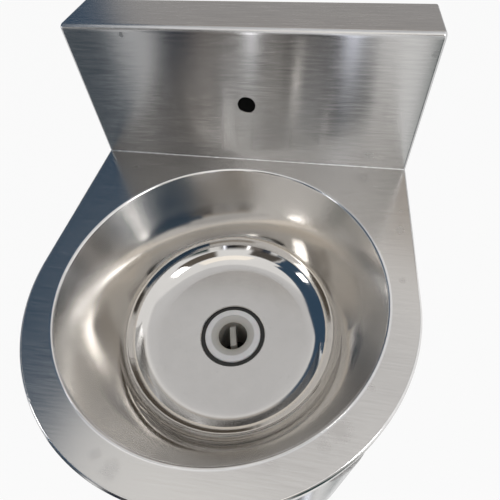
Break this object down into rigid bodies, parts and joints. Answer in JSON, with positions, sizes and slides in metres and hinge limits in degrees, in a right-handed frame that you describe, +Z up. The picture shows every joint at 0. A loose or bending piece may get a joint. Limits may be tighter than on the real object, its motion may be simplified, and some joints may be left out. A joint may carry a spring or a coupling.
{
  "type": "hand wash sink",
  "caption": "Wall-hung stainless steel hand wash sink with a D-shaped deck, round bowl, box splashback with spout hole, plastic waste and a knee panel that pushes a valve.",
  "frame": {"origin": "on the wall plane, on the centre line, at the height of the deck's top", "axes": "+X to the user's right, +Y into the wall, +Z up"},
  "size_m": [0.4, 0.4579, 0.42],
  "materials": {
    "brushed_sheet": "brushed stainless steel with a fine grain",
    "mill_sheet": "plain mill-finish stainless steel",
    "polished_sheet": "polished stainless steel, bright wall and satin floor",
    "fastener_steel": "plain stainless fasteners",
    "white_plastic": "off-white moulded plastic",
    "black_rubber": "matt black rubber",
    "nylon": "natural nylon",
    "plated_brass": "chrome-plated brass",
    "bare_brass": "plain brass"
  },
  "bodies": {
    "sink": {"deck": "brushed_sheet", "bowl": "polished_sheet", "splashback": "brushed_sheet", "wall_plate": "mill_sheet", "gusset_left": "brushed_sheet", "gusset_right": "brushed_sheet", "waste_body": "white_plastic", "waste_cross_bar": "white_plastic", "waste_seal": "black_rubber", "waste_washer": "black_rubber", "waste_backnut": "white_plastic", "hinge_bracket_left": "mill_sheet", "hinge_bracket_right": "mill_sheet", "hinge_studs": "fastener_steel", "hinge_nuts": "fastener_steel", "pivot_bolt_left": "fastener_steel", "pivot_bolt_right": "fastener_steel", "pivot_nuts": "fastener_steel", "valve_cradle": "mill_sheet", "cradle_studs": "fastener_steel", "cradle_nuts": "fastener_steel", "valve_body": "plated_brass", "valve_locknut": "bare_brass", "valve_gland": "plated_brass"},
    "knee_panel": {"knee_panel": "brushed_sheet", "striker_channel": "mill_sheet", "striker_bolt": "fastener_steel", "striker_locknut": "fastener_steel", "striker_bumper": "black_rubber", "pivot_bush_left": "nylon", "pivot_bush_right": "nylon"},
    "valve_plunger": {"valve_plunger": "plated_brass"}
  },
  "joints": [
    {"name": "knee_panel_swing", "type": "hinge", "parent": "sink", "child": "knee_panel", "pos_m": [0, -0.35244, -0.058], "axis": [1, 0, 0], "range_deg": [0, 3.1], "stiffness_Nm_per_rad": 27, "springref_deg": -4.58},
    {"name": "valve_plunger_slide", "type": "slide", "parent": "sink", "child": "valve_plunger", "axis": [0, 1, 0], "range_m": [0, 0.008], "stiffness_N_per_m": 500, "springref_m": -0.012}
  ],
  "couplings": [
    {"joint": "valve_plunger_slide", "follows": "knee_panel_swing", "m_per_rad": 0.147}
  ]
}
